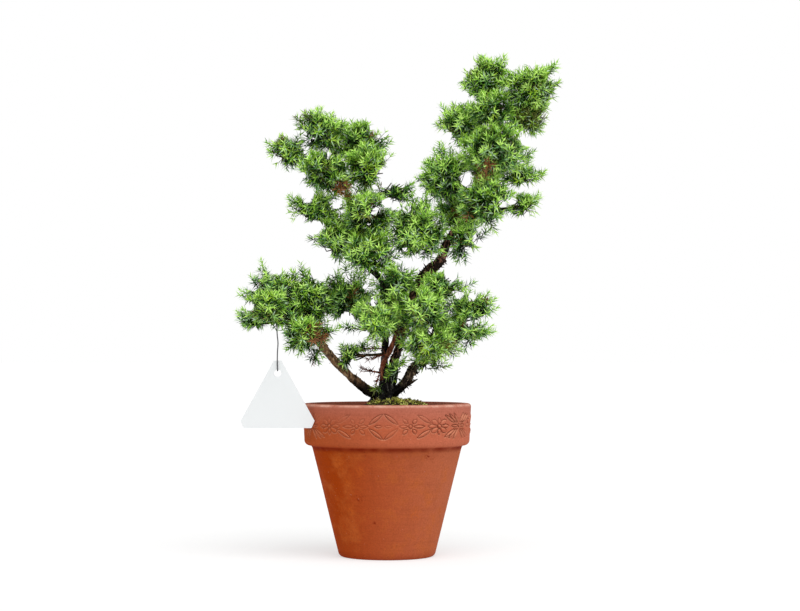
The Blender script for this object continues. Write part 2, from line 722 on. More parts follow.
def makeWood():
    finishes = {name: barkFinish(name) for name in barks if name != "twig_bark"}
    rng = random.Random("stubs")
    for name, limb in limbs.items():
        route = routes[name]
        if name == "trunk":
            route = np.concatenate((route, metres(((16, 8, 2010, 76), (18, 10, 2034, 42)))))
            meshes = [barkMesh(name, route, flareAt=ground)]
        else:
            # rooted a little inside the wood it comes from
            start = route[0].copy()
            start[:3] -= unit(route[1, :3] - route[0, :3]) * 0.006
            meshes = [barkMesh(name, np.concatenate(([start], route)), limb.rough)]
        meshes += limbSpikes(rng, routes[name], limb.spikes)
        meshes += barkFlakes(rng, routes[name], limb.flakes)
        meshes += branchMeshes(rng, stubs.get(name, ()), 8, 5, 0)
        if name == "front_stem":
            meshes += branchMeshes(rng, deadBranches, 7, 8, 1900)
        mesh = newMesh(*joinMeshes(meshes), [finishes[limb.finish]])
        addPiece("wood_" + name, mesh, "red_bark" if limb.finish == "red_bark" else "bark", name)
    print("wood done")


makeWood()


# The foliage, grown by the solids' rule: a stem from the limb to each mass's centre, twigs from the stem,
# side twigs from those, and a shoot of needles at each end, within the mass's own space

Mass = namedtuple("Mass", "name limb along centre reach dense")

# name, limb, how far along it the stem starts in hundredths, centre and reach in millimetres, and if dense
massRows = {
    "lowLeft": (
        ("low_left_tip", "left_bough", 97, -122, -4, 282, 35, 34, 28, True),
        ("low_left_tail", "left_bough", 90, -141, -16, 254, 22, 20, 12, False),
        ("low_left_front", "left_bough", 84, -124, -60, 266, 27, 22, 18, True),
        ("low_left_top", "left_bough", 80, -82, 2, 277, 38, 31, 29, True),
        ("low_left_skirt", "left_bough", 74, -86, -36, 238, 26, 23, 20, True),
        ("low_left_back", "left_bough", 70, -90, 40, 256, 28, 27, 24, True),
        ("inner_tuft", "front_stem", 45, -40, -14, 214, 15, 14, 14, False),
        ("trunk_tuft", "trunk", 80, 10, -21, 198, 10, 10, 10, False),
    ),
    "centre": (
        ("centre_left", "left_leader", 28, -41, 8, 275, 33, 30, 31, True),
        ("centre_front", "front_stem", 90, -12, -38, 251, 30, 28, 24, True),
        ("centre_right", "front_stem", 98, 36, -40, 262, 36, 30, 28, True),
        ("centre_back", "left_leader", 20, 2, 46, 262, 34, 30, 28, True),
        ("centre_top", "right_leader", 26, 10, -16, 292, 28, 28, 20, True),
        ("centre_top_right", "right_leader", 31, 58, -18, 289, 31, 26, 15, True),
    ),
    "lowRight": (
        ("low_right_top", "right_bough", 86, 86, 10, 263, 36, 32, 20, True),
        ("low_right_tip", "right_bough", 98, 88, -14, 242, 26, 23, 11, True),
        ("low_right_front", "right_bough", 70, 43, -36, 229, 34, 27, 23, True),
        ("low_right_back", "right_bough", 66, 56, 36, 238, 32, 29, 23, True),
        ("low_sprig", "right_bough", 56, 42, -25, 207, 26, 17, 15, False),
    ),
    "midLeft": (
        ("mid_left_low", "left_leader", 56, -57, -4, 338, 28, 28, 24, True),
        ("mid_left_front", "left_leader", 62, -20, -24, 324, 31, 28, 28, True),
        ("mid_left_back", "left_leader", 60, -26, 42, 346, 32, 28, 28, True),
        ("mid_left_tip", "left_leader", 70, -76, 2, 370, 31, 28, 21, True),
        ("mid_left_top", "left_leader", 78, -18, -24, 365, 37, 31, 24, True),
        ("mid_twig", "left_leader", 84, 10, 4, 390, 24, 18, 17, False),
    ),
    "upperLeft": (
        ("upper_left_low", "left_leader", 90, -67, -14, 411, 33, 29, 25, True),
        ("upper_left_tip", "left_leader", 93, -107, 2, 434, 24, 25, 21, True),
        ("upper_left_top", "left_leader", 98, -72, -2, 455, 31, 34, 26, True),
        ("upper_left_side", "left_leader", 95, -31, 26, 444, 35, 33, 26, True),
        ("upper_left_front", "left_leader", 88, -20, -20, 415, 31, 30, 24, True),
    ),
    "right": (
        ("right_inner", "right_leader", 52, 32, -14, 347, 36, 34, 34, True),
        ("right_low", "right_leader", 50, 82, -16, 337, 22, 22, 24, False),
        ("right_back", "right_leader", 62, 80, 44, 374, 33, 29, 28, True),
        ("right_middle", "right_leader", 66, 104, -28, 380, 36, 33, 30, True),
        ("right_sprig", "right_leader", 64, 148, 4, 375, 30, 18, 12, False),
        ("right_upper_sprig", "right_leader", 74, 147, 6, 407, 30, 20, 14, False),
        ("right_left_side", "right_leader", 70, 64, 8, 407, 34, 34, 30, True),
        ("right_upper", "right_leader", 84, 116, -28, 433, 40, 33, 31, True),
        ("right_upper_back", "right_leader", 80, 108, 42, 428, 32, 29, 29, True),
        ("right_upper_tip", "right_leader", 88, 82, 12, 463, 33, 32, 26, True),
    ),
    "top": (
        ("top_low", "right_leader", 90, 150, 16, 473, 33, 31, 21, True),
        ("top_heart", "right_leader", 94, 113, -18, 476, 26, 24, 23, True),
        ("top_right", "right_leader", 97, 154, -6, 503, 38, 34, 25, True),
        ("top", "right_leader", 99, 106, 12, 512, 32, 34, 28, True),
    ),
}
masses = {
    region: [Mass(*row[:2], row[2] / 100, metres(row[3:6], 1), metres(row[6:9], 1), row[9]) for row in rows]
    for region, rows in massRows.items()
}
everyMass = [mass for group in masses.values() for mass in group]

growth = {
    "stemSag": 0.12,
    "stemLead": 0.10,
    "stemLimbShare": 0.62,
    "stemThickest": 0.0022,
    "stemTip": 0.0011,
    "cellMargin": 0.0005,
    "overlap": 0.007,  # how far shoots may cross into a neighbour
    "denseSpacing": 0.0094,
    "openSpacing": 0.0098,
    "unevenness": 0.40,
    "deepShare": 0.30,
    "deepAt": (0.42, 0.72),  # as shares of the reach
    "outerAt": (0.76, 0.95),
    "wayJitter": 0.11,
    "leanJitter": 0.22,
    "upward": 0.35,
    "flatness": 0.70,  # how much of a shoot's lean to the front or back is kept
    "denseTwigs": 10,
    "openTwigs": 6,
    "twigShare": 0.60,
    "twigRadius": 0.0010,
    "sideTwigRadii": (0.00058, 0.00050, 0.00042, 0.00018),
    "longShoot": (0.011, 0.018),
    "shortShoot": (0.006, 0.010),
    "forkShare": 0.8,  # of the shoots that fork
    "forkAt": (0.05, 0.45),
    "crowdedKept": 0.85,  # of the shoots where two masses meet
    "sprigBeyond": 0.0018,
    "limbGap": 0.002,
    # how much lighter each group is than the rest, and how much yellower
    "lifts": {
        "top": 0.17, "right": 0.20, "lowRight": 0.28, "centre": 0.27,
        "lowLeft": 0.02, "midLeft": 0.10, "upperLeft": 0.09,
    },
    "warmths": {"upperLeft": 0.20, "top": 0.14, "midLeft": 0.05},
    "longestTwig": 0.024,
    "woodStep": 0.0035,
    "woodReach": 0.85,  # of a mass's own reach
    "woodMost": 16,
}

needle = {
    "length": (0.0070, 0.0094),
    "width": (0.00130, 0.00170),
    "widest": 0.25,
    "keel": 0.30,
    "whorlStep": 0.0021,
    "rootLean": math.radians(84),
    "tipLean": math.radians(38),
    "curl": 0.08,
}

# Places as seen from the front: x, z and radius in the plane through the trunk, in tenths of a millimetre.
# The plant is dead and brown in the first, olive in the next, and open air shows in the clearings.
deadSpots = metres((
    (1060, 4145, 80), (1050, 4050, 80), (-440, 3901, 90), (-793, 2373, 60), (-740, 2315, 60),
    (-643, 2208, 60), (-140, 3022, 50), (857, 3622, 50), (75, 2275, 40), (200, 2330, 40),
))
oliveSpots = metres((
    (-139, 1770, 100), (-936, 4680, 90), (-1108, 4490, 90), (1537, 4694, 110), (80, 2360, 70),
))
clearings = metres((
    (850, 4020, 60), (640, 3330, 40), (695, 3430, 35), (-60, 2900, 35), (-110, 3005, 35), (469, 2405, 40),
    (10, 3780, 50), (210, 3720, 40), (100, 3750, 40), (-150, 3675, 40), (-200, 3550, 30), (-22, 4070, 60),
    (-10, 3980, 50), (50, 4195, 50), (-34, 4515, 30), (-155, 4593, 30), (-90, 4490, 20), (483, 4564, 50),
    (709, 4426, 30), (640, 4490, 50), (834, 4911, 40), (869, 5283, 60), (750, 5140, 60), (1080, 5470, 60),
    (1340, 5260, 40), (1443, 5229, 30), (1560, 5270, 50), (1793, 5134, 40), (1860, 4970, 40),
    (1810, 4800, 50), (1747, 4684, 40), (1480, 4520, 40), (1496, 4439, 50), (1650, 4150, 40),
    (1457, 3949, 40), (1560, 3990, 50), (1250, 3750, 40), (1332, 3790, 40), (1590, 3710, 50),
    (1672, 3742, 50), (1498, 3651, 40), (996, 3402, 70), (848, 3251, 60), (683, 3022, 75), (393, 3210, 40),
    (180, 3110, 60), (310, 3170, 50), (760, 2790, 40), (910, 2770, 40), (880, 2500, 40),
    (275, 2780, 44), (1096, 2525, 50), (980, 2480, 40), (831, 2268, 30), (440, 1960, 70), (190, 1990, 50),
    (-249, 2371, 40), (-361, 2044, 40), (-400, 2550, 50), (-463, 2500, 40),
    (-150, 2700, 40), (-220, 2880, 30), (-420, 2970, 30), (-443, 3099, 50), (-694, 2980, 40),
    (-770, 3030, 60), (-1202, 3075, 70), (-1371, 3015, 30), (-1440, 2880, 50), (-1480, 2660, 50),
    (-1290, 2445, 40), (-1410, 2395, 40), (-660, 3230, 60), (-755, 3269, 40), (-780, 3510, 70),
    (-885, 3490, 50), (-939, 3599, 50), (-537, 3758, 45), (-850, 3850, 60), (-923, 4064, 50),
    (-1207, 4241, 60), (-630, 4290, 35), (-790, 4470, 30), (-950, 4510, 60), (-1054, 4534, 40),
    (-1221, 4495, 40), (-450, 4740, 60), (1780, 4560, 60), (1710, 4470, 40), (146, 4003, 50),
    (85, 4010, 30), (-110, 2139, 40), (1038, 3459, 40), (-1397, 2893, 30), (1147, 2641, 35),
    (161, 1915, 40), (-288, 2128, 40), (-532, 2150, 35), (835, 3248, 30), (2, 4264, 30), (195, 3275, 30),
    (-125, 3945, 30), (-436, 2432, 35), (-648, 4790, 35),
))
# a gap in front of the top masses: x, y, z and radius
hollow = metres((1280, -400, 4770, 140))

# sprigs that stand out beyond the rest of a mass: x, y, z of the tip and the shoot's length, in millimetres
sprigs = {
    "top_right": ((178, -4, 524, 21), (180, -10, 503, 16), (182, -4, 526, 18)),
    "top": ((126, -2, 534, 14),),
    "right_upper_tip": ((58, 10, 482, 24), (64, 2, 472, 18), (53, 4, 461, 14)),
    "right_left_side": (
        (50, 6, 434, 24), (56, -4, 440, 18), (38, 0, 413, 17), (32, -4, 402, 17), (47, 0, 379, 16),
        (60, -4, 439, 16),
    ),
    "right_upper_sprig": ((152, 0, 430, 22), (170, 0, 408.5, 26)),
    "right_sprig": ((163, 0, 386, 24), (165, 0, 382, 18)),
    "right_low": (
        (112, -12, 348, 22), (74, -10, 318, 18), (66, -10, 321, 16), (83, -12, 315, 15),
        (76.5, -10, 314.5, 16),
    ),
    "mid_left_front": ((10, -20, 318, 16), (12, -16, 316, 18)),
    "centre_top": ((15, -10, 308, 13), (-15, -10, 288.5, 14), (32, -22, 296, 16), (25, -22, 300, 14)),
    "mid_left_tip": (
        (-105, 0, 383, 26), (-104, -6, 372, 20), (-52, -10, 389, 15), (-48, -12, 361, 14),
        (-106, 0, 381, 16),
    ),
    "upper_left_low": ((-56, -18, 387, 14), (-46, -40, 393, 12), (-42, -42, 388, 12), (-49, -42, 387, 12)),
    "mid_left_top": ((-36, -20, 394, 16), (-43, -40, 386, 12)),
    "upper_left_front": ((-26, -20, 391, 14),),
    "right_inner": (
        (27, -4, 384, 20), (20, -10, 370, 18), (43, -10, 385, 15), (46, -6, 316.5, 18), (27, -8, 321, 14),
    ),
    "upper_left_side": ((-10, 12, 453, 18), (4, 16, 442, 22)),
    "upper_left_top": ((-47, 8, 464, 15),),
    "upper_left_tip": ((-129, 2, 441, 18), (-126, -4, 432, 16), (-92, -6, 449, 14)),
    "centre_left": ((-45, 4, 312, 12), (-28, -4, 303, 14)),
    "low_left_skirt": (
        (-50, -30, 241, 22), (-64, -30, 228, 15), (-77.5, -34, 217, 18), (-70, -32, 212, 18),
        (-103, -34, 220.5, 18), (-92, -34, 216, 16), (-63, -20, 249, 16), (-73.5, -30, 206, 18),
        (-103, -30, 218.5, 18),
    ),
    "low_left_front": ((-112, -50, 245, 14), (-117.5, -72, 253.5, 14), (-122, -70, 259, 12)),
    "low_left_tip": ((-135, -6, 314, 24), (-146, -4, 297, 20), (-156.5, -4, 280, 27), (-157, -4, 276, 20)),
    "low_left_tail": (
        (-160, -14, 258, 24), (-152, -14, 247, 17), (-138, -18, 246.5, 16), (-130, -18, 248, 14),
    ),
    "low_left_top": ((-93, -4, 311, 20), (-102, -4, 303, 15), (-51, -12, 303, 18), (-58, -8, 258, 14)),
    "centre_front": ((-49, -30, 243, 18),),
    "inner_tuft": ((-23, -12, 226, 13),),
    "low_right_top": ((112, 2, 273, 24), (118, 0, 262, 22), (109, 4, 279.5, 18), (116, 2, 272.5, 18)),
    "low_right_tip": (
        (114, -14, 236.5, 22), (84, -20, 219, 18), (105, -10, 246, 14), (100, -12, 238.5, 22),
        (90, -20, 234, 16),
    ),
    "low_right_front": ((74, -30, 218.5, 18), (78, -20, 217.5, 18)),
    "low_sprig": ((66, -22, 200, 24),),
    "centre_top_right": ((93, -12, 289, 22),),
    "trunk_tuft": ((18, -20, 211, 12), (-14.5, -16, 177.5, 10)),
    "right_upper": ((157, -4, 430, 22), (106, -50, 412, 13)),
    "right_middle": ((114, -14, 346, 18), (103, -52, 404, 13)),
    "mid_left_low": ((-51, -8, 315, 14),),
    "top_low": ((170, 4, 468, 14), (164, 6, 453, 20), (157, 8, 452, 18), (148, 8, 456, 14)),
}


def seenIn(points, places):
    # true for points that would be seen in one of the places, whose edges are ragged
    cameraX, cameraY, cameraZ = studio["cameraAt"]
    scale = cameraY / (cameraY - points[:, 1])
    x = cameraX + (points[:, 0] - cameraX) * scale
    z = cameraZ + (points[:, 2] - cameraZ) * scale
    found = np.zeros(len(points), bool)
    for middle, height, radius in places:
        turn = np.arctan2(z - height, x - middle)
        ragged = 1 + 0.20 * np.sin(2 * turn + 700 * height) + 0.13 * np.sin(5 * turn + 900 * middle)
        found |= np.hypot(x - middle, z - height) < radius * ragged
    return found


def inClearing(points):
    return seenIn(points, clearings)


def stemRoute(mass, cuts=8):
    start, along = pointAlong(stemRoutes[mass.limb], mass.along)
    foot, end = start[:3], mass.centre
    length = np.linalg.norm(end - foot)
    bend = (foot + end) / 2 + length * (growth["stemLead"] * along - growth["stemSag"] * up)
    thick = min(growth["stemLimbShare"] * start[3], growth["stemThickest"])
    t = np.linspace(0, 1, cuts)[:, None]
    return np.concatenate((bentLine(foot, bend, end, t), thick + (growth["stemTip"] - thick) * t), axis=1)


def ownSpace(mass):
    # the planes that part a mass's space from its neighbours': normals and offsets from its centre
    normals, offsets = [], []
    for other in everyMass:
        if other is not mass:
            away = other.centre - mass.centre
            far = np.linalg.norm(away)
            wider = np.mean(mass.reach) ** 2 - np.mean(other.reach) ** 2
            normals.append(away / far)
            offsets.append((far**2 + wider) / (2 * far) - growth["cellMargin"])
    return np.array(normals), np.array(offsets)


def reachAlong(mass, planes, directions):
    # how far a mass goes in each direction, and whether a neighbour stops it there
    free = 1 / sizes(directions / mass.reach)
    slope = directions @ planes[0].T
    stops = np.where(slope > 1e-9, planes[1] / np.maximum(slope, 1e-9), np.inf).min(axis=1)
    return np.minimum(free, stops + growth["overlap"]), stops < free * 0.86


def evenDirections(count, turn):
    index = np.arange(count)
    height = 1 - 2 * (index + 0.5) / count
    ring = np.sqrt(1 - height**2)
    angle = turn + index * goldenAngle
    return np.stack((ring * np.cos(angle), ring * np.sin(angle), height), axis=1)


def stickMesh(runs, sides):
    # thin open tubes with the same number of stations: runs is sticks, stations, (x, y, z, radius)
    tangents = unit(np.gradient(runs[:, :, :3], axis=1))
    across = unit(np.cross(tangents, (0.31, 0.77, 0.55)))
    lift = np.cross(tangents, across)
    turn = (np.arange(sides) * fullTurn / sides)[:, None]
    ring = np.cos(turn) * across[:, :, None] + np.sin(turn) * lift[:, :, None]
    points = runs[:, :, None, :3] + ring * runs[:, :, None, 3:4]
    index = np.arange(points[..., 0].size).reshape(points.shape[:3])
    return points.reshape(-1, 3), ringQuads(index)[:, (0, 3, 2, 1)]


def distanceToLimbs(points):
    # how far each point is from the skin of the nearest limb
    nearest = np.full(len(points), 1.0)
    for row in np.concatenate(list(routes.values())):
        nearest = np.minimum(nearest, sizes(points - row[:3]) - row[3])
    return nearest


def woodShoots(mass, stem, rng):
    # the feet and directions of short shoots on a mass's stem, and on any limb inside the mass
    wood = [evenRoute(stem[len(stem) // 3:], growth["woodStep"])]
    for route in routes.values():
        inside = sizes((route[:, :3] - mass.centre) / mass.reach) < growth["woodReach"]
        wood.append(route[inside])
    rows = np.concatenate(wood)
    if len(rows) > growth["woodMost"]:
        rows = rows[rng.permutation(len(rows))[: growth["woodMost"]]]
    out = unit(rng.normal(0, 1, (len(rows), 3)) + up * 0.3)
    feet = rows[:, :3] + out * rows[:, 3:] * 0.7
    seen = ~inClearing(feet + out * 0.006)
    return feet[seen], out[seen]


def picked(shoots, chosen):
    return {key: values[chosen] for key, values in shoots.items()}


def joined(first, second):
    # two sets of shoots in one, where a plain number goes for every shoot of the second
    count = len(second["axis"])
    return {
        key: np.concatenate((values, np.broadcast_to(second[key], (count, *values.shape[1:]))))
        for key, values in first.items()
    }


def growTwigs(mass, planes, stem, rng):
    # twigs from the outer part of the stem
    count = growth["denseTwigs"] if mass.dense else growth["openTwigs"]
    headings = unit(evenDirections(count, rng.uniform(0, 6.28)) + rng.uniform(-0.25, 0.25, (count, 3)))
    far, _ = reachAlong(mass, planes, headings)
    roots = stem[rng.integers(4, 8, count), :3]
    ends = mass.centre + headings * (far * growth["twigShare"])[:, None]
    bends = (roots + ends) / 2 - up * 0.10 * sizes(ends - roots)[:, None]
    t = np.linspace(0, 1, 6)[None, :, None]
    lines = bentLine(roots[:, None], bends[:, None], ends[:, None], t)
    radii = np.broadcast_to(growth["twigRadius"] * (1 - 0.45 * t), (*lines.shape[:2], 1))
    return np.concatenate((lines, radii), axis=2)


def growShoots(mass, planes, rng):
    # shoots spread over the mass, most of them near its outside, further out in some places than others
    spacing = growth["denseSpacing"] if mass.dense else growth["openSpacing"]
    count = max(int(4 * math.pi * float(np.mean(mass.reach)) ** 2 / spacing**2), 8)
    even = evenDirections(count, rng.uniform(0, 6.28))
    ways = unit(even + rng.normal(0, growth["wayJitter"], (count, 3)))
    far, crowded = reachAlong(mass, planes, ways)
    seed = rng.uniform(0, 60)
    lumps = np.array([noise.noise(Vector(way * 2.5) + Vector((seed, 0, 0))) for way in ways])
    deep = rng.random(count) < growth["deepShare"]
    shares = np.where(deep, rng.uniform(*growth["deepAt"], count), rng.uniform(*growth["outerAt"], count))
    shares *= 1 + growth["unevenness"] * lumps
    keep = (rng.random(count) < growth["crowdedKept"]) | ~crowded
    leans = ways + up * growth["upward"] * 0.8 + rng.normal(0, growth["leanJitter"], (count, 3))
    axes = unit(leans * (1, growth["flatness"], 1))
    lengths = np.minimum(rng.uniform(*growth["longShoot"], count), far * 0.75)
    tips = mass.centre + ways * (far * shares)[:, None]
    keep &= sizes((tips - hollow[:3]) * (1, 0.5, 1)) > hollow[3]
    for back in (0.0, 0.5, 1.0):
        keep &= ~inClearing(tips - axes * lengths[:, None] * back)
    shoots = {"way": ways, "share": shares, "axis": axes, "length": lengths, "lump": lumps, "tip": tips}
    shoots = picked({**shoots, "slim": np.zeros(count)}, keep)
    if mass.name in sprigs:
        rows = metres(sprigs[mass.name], 1)
        out = unit(rows[:, :3] - mass.centre)
        shoots = joined(shoots, {
            "way": out,
            "share": 1.0,
            "axis": unit(out + up * 0.25),
            "length": rows[:, 3],
            "lump": 0.15,
            "tip": rows[:, :3] + out * growth["sprigBeyond"],
            "slim": 1.0,
        })
    shoots["base"] = shoots.pop("tip") - shoots["axis"] * shoots["length"][:, None]
    return picked(shoots, distanceToLimbs(shoots["base"]) > growth["limbGap"])


def sideTwigs(mass, twigs, stem, shoots, free, rng):
    # a side twig from the nearest twig to each shoot, with the shoot's own wood
    bases, axes = shoots["base"], shoots["axis"]
    nodes = np.concatenate((twigs[:, 1:, :3].reshape(-1, 3), stem[4:, :3]))
    gaps = np.linalg.norm(bases[:, None] - nodes[None], axis=2)
    outward = sizes(nodes - mass.centre) - sizes(bases - mass.centre)[:, None]
    starts = nodes[np.argmin(gaps + 2 * np.maximum(outward, 0), axis=1)]
    alone = (shoots["slim"] > 0) & (gaps.min(axis=1) > growth["longestTwig"])
    rooted = (np.arange(len(bases)) >= free) | alone
    starts[rooted] = (bases - axes * 0.002)[rooted]
    span = sizes(bases - starts)[:, None]
    bends = bases - axes * span * 0.45 + rng.normal(0, 0.05, bases.shape) * span
    lines = [bentLine(starts, bends, bases, t) for t in (0.0, 0.5)]
    for t in (0.05, 0.92):
        lines.append(bases + shoots["length"][:, None] * (axes * t + (shoots["turned"] - axes) * t**2 / 2))
    lines = np.stack(lines, axis=1)
    radii = np.broadcast_to(np.array(growth["sideTwigRadii"])[:, None], (*lines.shape[:2], 1))
    return np.concatenate((lines, radii), axis=2)


def growMass(mass):
    # the stem, twigs, side twigs and shoots of one mass
    rng = np.random.default_rng(random.Random(mass.name).getrandbits(32))
    planes = ownSpace(mass)
    stem = stemRoute(mass)
    twigs = growTwigs(mass, planes, stem, rng)
    shoots = growShoots(mass, planes, rng)
    free = len(shoots["base"])
    # short shoots from the wood that runs through it
    feet, out = woodShoots(mass, stem, rng)
    lengths = rng.uniform(*growth["shortShoot"], len(feet)) * 1.2
    places = {"base": feet, "way": out, "axis": out, "length": lengths}
    shoots = joined(shoots, {**places, "share": 0.80, "lump": -0.05, "slim": 0.0})
    shoots["turned"] = unit(shoots["axis"] + up * growth["upward"])
    runs = sideTwigs(mass, twigs, stem, shoots, free, rng)
    # and a short shoot that forks from most of them
    count = len(shoots["base"])
    forked = np.flatnonzero((rng.random(count) < growth["forkShare"]) & (np.arange(count) < free))
    forks = picked(shoots, np.concatenate((forked, np.flatnonzero(shoots["slim"] > 0))))
    axes, many = forks["axis"], len(forks["axis"])
    t = rng.uniform(*growth["forkAt"], many)[:, None]
    side = unit(np.cross(axes, rng.normal(0, 1, (many, 3))))
    forks["base"] = forks["base"] + forks["length"][:, None] * axes * t
    forks["axis"] = unit((axes * 0.82 + side + up * 0.18) * (1, 0.5 + growth["flatness"] / 2, 1))
    forks["turned"] = unit(forks["axis"] + up * growth["upward"])
    forks["length"] = rng.uniform(*growth["shortShoot"], many) * (1 - 0.25 * forks["slim"])
    return stem, twigs, runs, joined(shoots, forks), rng


def needlesOf(shoots, rng):
    # the four points of every needle, which shoot it is on, and how far along the shoot, from 0 to 1
    count = len(shoots["base"])
    whorls = np.maximum((shoots["length"] / needle["whorlStep"]).astype(int), 4)
    owner = np.repeat(np.arange(count), whorls)
    order = np.arange(len(owner)) - np.repeat(np.cumsum(whorls) - whorls, whorls)
    t = (order + 0.5) / whorls[owner]
    # three needles a whorl, and each whorl turned from the last
    owner, order, t = np.repeat(owner, 3), np.repeat(order, 3), np.repeat(t, 3)
    total = len(owner)
    corner = np.tile(np.arange(3), total // 3)
    start, far = shoots["axis"][owner], t[:, None]
    bend = shoots["turned"][owner] - start
    axis = unit(start + bend * far)
    base = shoots["base"][owner] + shoots["length"][owner][:, None] * (start * far + bend * far**2 / 2)
    across = unit(np.cross(axis, (0.27, 0.64, 0.72)))
    lift = np.cross(axis, across)
    turn = rng.uniform(0, 6.28, count)[owner] + order * math.pi / 3 + corner * fullTurn / 3
    turn += rng.normal(0, 0.16, total)
    lean = needle["rootLean"] + (needle["tipLean"] - needle["rootLean"]) * t**1.2 + rng.normal(0, 0.13, total)
    out = np.cos(turn)[:, None] * across + np.sin(turn)[:, None] * lift
    way = unit(np.cos(lean)[:, None] * axis + np.sin(lean)[:, None] * out)
    inner = unit(axis - way * np.sum(axis * way, axis=1, keepdims=True))
    size = rng.uniform(*needle["length"], total) * (0.86 + 0.28 * np.sin(math.pi * np.clip(t, 0, 1)))
    size *= np.where(t > 0.85, 0.86, 1.0)
    half = rng.uniform(*needle["width"], total) / 2
    curl = rng.normal(0.02, needle["curl"], total) * size
    middle = base + way * (size * needle["widest"])[:, None] + inner * (half * needle["keel"] * 2)[:, None]
    side = np.cross(way, inner) * half[:, None]
    tip = base + way * size[:, None] + inner * curl[:, None]
    return np.stack((base, middle + side, middle - side, tip), axis=1), owner, t


# the colours of needles, and which colour the shaded side of each has
needleColours = {
    "deep": ((0.004, 0.020, 0.001), "deep"),
    "dark": ((0.027, 0.100, 0.007), "deep"),
    "green": ((0.112, 0.300, 0.024), "dark"),
    "bright": ((0.345, 0.655, 0.060), "green"),
    "fresh": ((0.600, 0.915, 0.190), "bright"),
    "pale": ((0.470, 0.650, 0.430), "dark"),
    "olive": ((0.200, 0.240, 0.040), "dark"),
    "dead": ((0.255, 0.105, 0.032), "dead"),
    "cool": ((0.115, 0.320, 0.080), "dark"),
    "lime": ((0.410, 0.655, 0.035), "green"),
    "silver": ((0.330, 0.600, 0.155), "cool"),
}
colourNumber = {name: number for number, name in enumerate(needleColours)}

# how light a needle is: what each thing adds, and the steps from deep up to fresh
shading = {
    "plain": 0.50,
    "upward": 0.28,
    "outside": 1.0,
    "clumps": 0.30,
    "lumps": 0.5,
    "tips": 1.7,
    "slim": -0.16,  # a drawn-out sprig is a little darker
    "shootSpread": 0.22,
    "needleSpread": 0.18,
    "steps": (-0.02, 0.27, 0.57, 0.98),
    # shares of the needles or shoots that are another colour
    "paleUnder": 0.14,
    "paleAbove": 0.06,
    "olive": 0.06,
    "dying": 0.006,
}


def needleFinish(name):
    finish = Finish("needle_" + name, needleColours[name][0], 0.55, 0.2 if name in ("deep", "dark") else 0.42)
    finish.roughen(-0.3, 1.6, 900, 2)
    finish.bump(0.15, 0.0002, 2400, 2)
    return finish


def finishNumbers(shoots, owner, t, rng, lift, warmth):
    # lighter at the tips, the top and the outside of a mass, darker below and inside
    count, total = len(shoots["base"]), len(owner)
    upward = shoots["way"][:, 2]
    clumps = np.array([noise.noise(Vector(base) * 42) for base in shoots["base"]])
    lit = shading["plain"] + lift + shading["upward"] * upward + shading["outside"] * (shoots["share"] - 0.85)
    lit = lit + shading["clumps"] * clumps + shading["lumps"] * shoots["lump"]
    lit += rng.normal(0, shading["shootSpread"], count) + shading["slim"] * shoots["slim"]
    level = lit[owner] + shading["tips"] * (t - 0.60) + rng.normal(0, shading["needleSpread"], total)
    number = np.digitize(level, shading["steps"])
    hue = (warmth + 0.6 * clumps[::-1] + rng.normal(0, 0.3, count))[owner]

    def dye(where, name):
        number[where] = colourNumber[name]

    dye((number == colourNumber["green"]) & (hue < 0.0), "cool")
    dye((number == colourNumber["bright"]) & (hue < -0.18), "silver")
    dye((number == colourNumber["bright"]) & (hue > 0.30), "lime")
    under = (upward < 0.05)[owner]
    dye(under & (rng.random(total) < shading["paleUnder"]), "pale")
    dye(~under & (rng.random(total) < shading["paleAbove"]), "pale")
    dye((rng.random(count) < shading["olive"])[owner] & (t < 0.6), "olive")
    dying = rng.random(count) < shading["dying"]
    middle = shoots["base"] + shoots["axis"] * (shoots["length"] / 2)[:, None]
    dye(seenIn(middle, oliveSpots)[owner] & (rng.random(total) < 0.75) & (t < 0.9), "olive")
    dying |= seenIn(middle, deadSpots) & (shoots["way"][:, 1] < 0.2) & (rng.random(count) < 0.8)
    dye(dying[owner] & (rng.random(total) < 0.8), "dead")
    return number


def makeFoliage():
    finishes = [needleFinish(name) for name in needleColours]
    faceCorners = np.array(((1, 3, 2), (0, 3, 1), (0, 2, 3)))  # the last is a needle's shaded side
    darker = np.array([colourNumber[shaded] for _, shaded in needleColours.values()])
    allPoints, allQuads, total = [], [], 0
    for region, group in masses.items():
        lift, warmth = growth["lifts"][region], growth["warmths"].get(region, 0.0)
        clouds, numbers = [], []
        for mass in group:
            stem, twigs, runs, shoots, rng = growMass(mass)
            for sticks, sides in ((stem[None], 7), (twigs, 5), (runs, 3)):
                points, quads = stickMesh(sticks, sides)
                allPoints.append(points)
                allQuads.append(quads + total)
                total += len(points)
            cloud, owner, t = needlesOf(shoots, rng)
            number = finishNumbers(shoots, owner, t, rng, lift, warmth)
            shown = (shoots["slim"][owner] > 0) | ~(inClearing(cloud[:, 3]) | inClearing(cloud[:, 1]))
            clouds.append(cloud[shown])
            numbers.append(number[shown])
        cloud, number = np.concatenate(clouds), np.concatenate(numbers)
        faces = (np.arange(len(cloud))[:, None, None] * 4 + faceCorners).reshape(-1, 3)
        finishOf = np.stack((number, number, darker[number]), axis=1).ravel()
        mesh = newMesh(cloud.reshape(-1, 3), faces, finishes, finishOf, smooth=False)
        addPiece("needles_" + region, mesh, "needles", *[mass.name for mass in group])
        print(region, "needles:", len(cloud))
    mesh = newMesh(np.concatenate(allPoints), np.concatenate(allQuads), [barkFinish("twig_bark")])
    addPiece("twigs", mesh, "bark")
    print("twig faces:", len(mesh.polygons))


makeFoliage()


# The soil and the moss on it

soil = {
    "wallGap": 0.0003,
    "edgeDrop": 0.0118,
    "groundRise": 0.0022,
    "moundCentre": (0.009, -0.004),
    "moundRadius": 0.020,
    "moundFoot": 0.056,
    "rings": 74,
    "columns": 230,
    "grain": 0.0011,
    "pebbles": 620,
}


